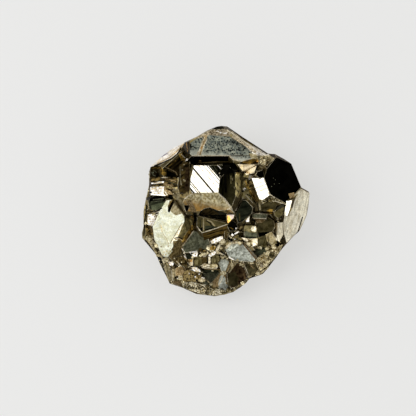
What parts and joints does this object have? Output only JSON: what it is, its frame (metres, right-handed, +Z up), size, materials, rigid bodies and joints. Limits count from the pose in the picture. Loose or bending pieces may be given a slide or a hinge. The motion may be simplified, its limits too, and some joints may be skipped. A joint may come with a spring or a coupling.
{
  "type": "pyrite cluster",
  "caption": "Rounded cluster of intergrown pyrite crystals with flat mirror faces over a granular crust; a natural mineral specimen that rests on a flat foot for display",
  "frame": {"origin": "middle of the bounding box, on the flat foot", "axes": "+Z up out of the flat foot, +X to the right and +Y to the back as the cluster is seen, with the tall slate-topped crystal at the back"},
  "size_m": [0.05, 0.049, 0.025],
  "materials": {
    "pyrite": "metallic mirror faces, some etched grey or pale, with granular brown crust between"
  },
  "bodies": {
    "root": {"pyrite_cluster": "pyrite"}
  },
  "joints": []
}
